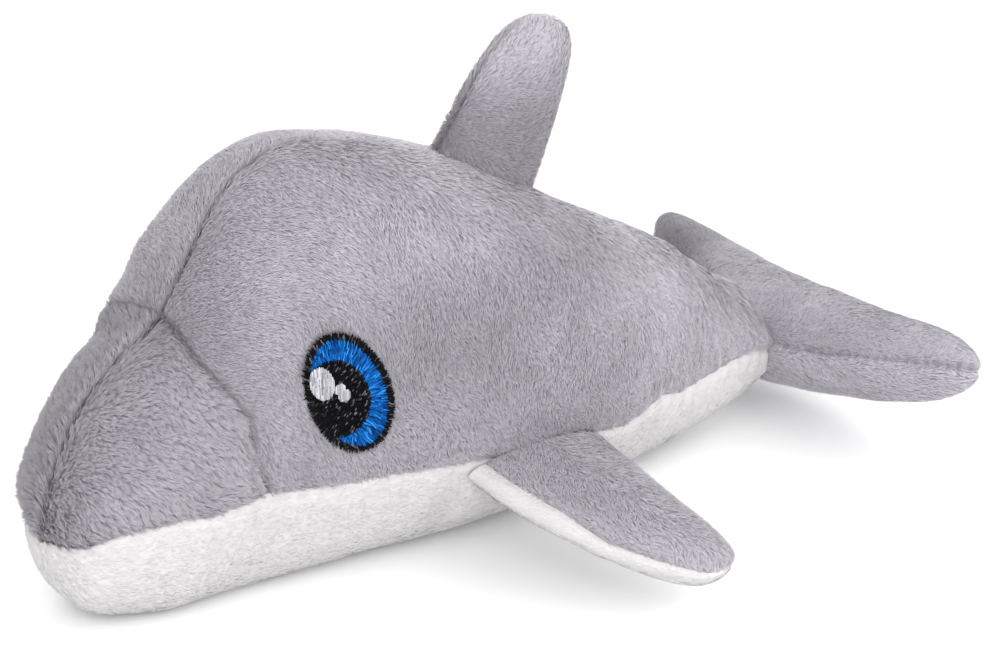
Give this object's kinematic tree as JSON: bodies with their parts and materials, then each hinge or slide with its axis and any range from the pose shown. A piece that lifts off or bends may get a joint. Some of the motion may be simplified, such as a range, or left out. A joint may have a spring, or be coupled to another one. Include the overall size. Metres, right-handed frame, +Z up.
{
  "type": "plush dolphin",
  "caption": "Stuffed plush dolphin with a grey back, a white belly and embroidered oval eyes, lying on its belly.",
  "frame": {"origin": "middle of the footprint's bounding box, on the floor under the toy", "axes": "+Z up, -Y towards the snout, +Y towards the tail, +X towards the dolphin's left side"},
  "size_m": [0.1624, 0.2515, 0.1278],
  "materials": {
    "grey_plush": "matte",
    "white_plush": "matte",
    "fibre_filling": "matte",
    "black_thread": "satin",
    "blue_thread": "satin",
    "light_thread": "satin"
  },
  "bodies": {
    "root": {"side_panel_left": "grey_plush", "side_panel_right": "grey_plush", "beak_panel_left": "grey_plush", "beak_panel_right": "grey_plush", "belly_panel": "white_plush", "body_filling": "fibre_filling", "dorsal_fin_panel_left": "grey_plush", "dorsal_fin_panel_right": "grey_plush", "dorsal_fin_filling": "fibre_filling", "flipper_top_left": "grey_plush", "flipper_underside_left": "white_plush", "flipper_filling_left": "fibre_filling", "flipper_top_right": "grey_plush", "flipper_underside_right": "white_plush", "flipper_filling_right": "fibre_filling", "fluke_upper_panel": "grey_plush", "fluke_lower_panel": "grey_plush", "fluke_filling": "fibre_filling", "eye_outline_left": "black_thread", "eye_iris_left": "blue_thread", "eye_pupil_left": "black_thread", "eye_highlight_large_left": "light_thread", "eye_highlight_small_left": "light_thread", "eye_outline_right": "black_thread", "eye_iris_right": "blue_thread", "eye_pupil_right": "black_thread", "eye_highlight_large_right": "light_thread", "eye_highlight_small_right": "light_thread"}
  },
  "joints": []
}
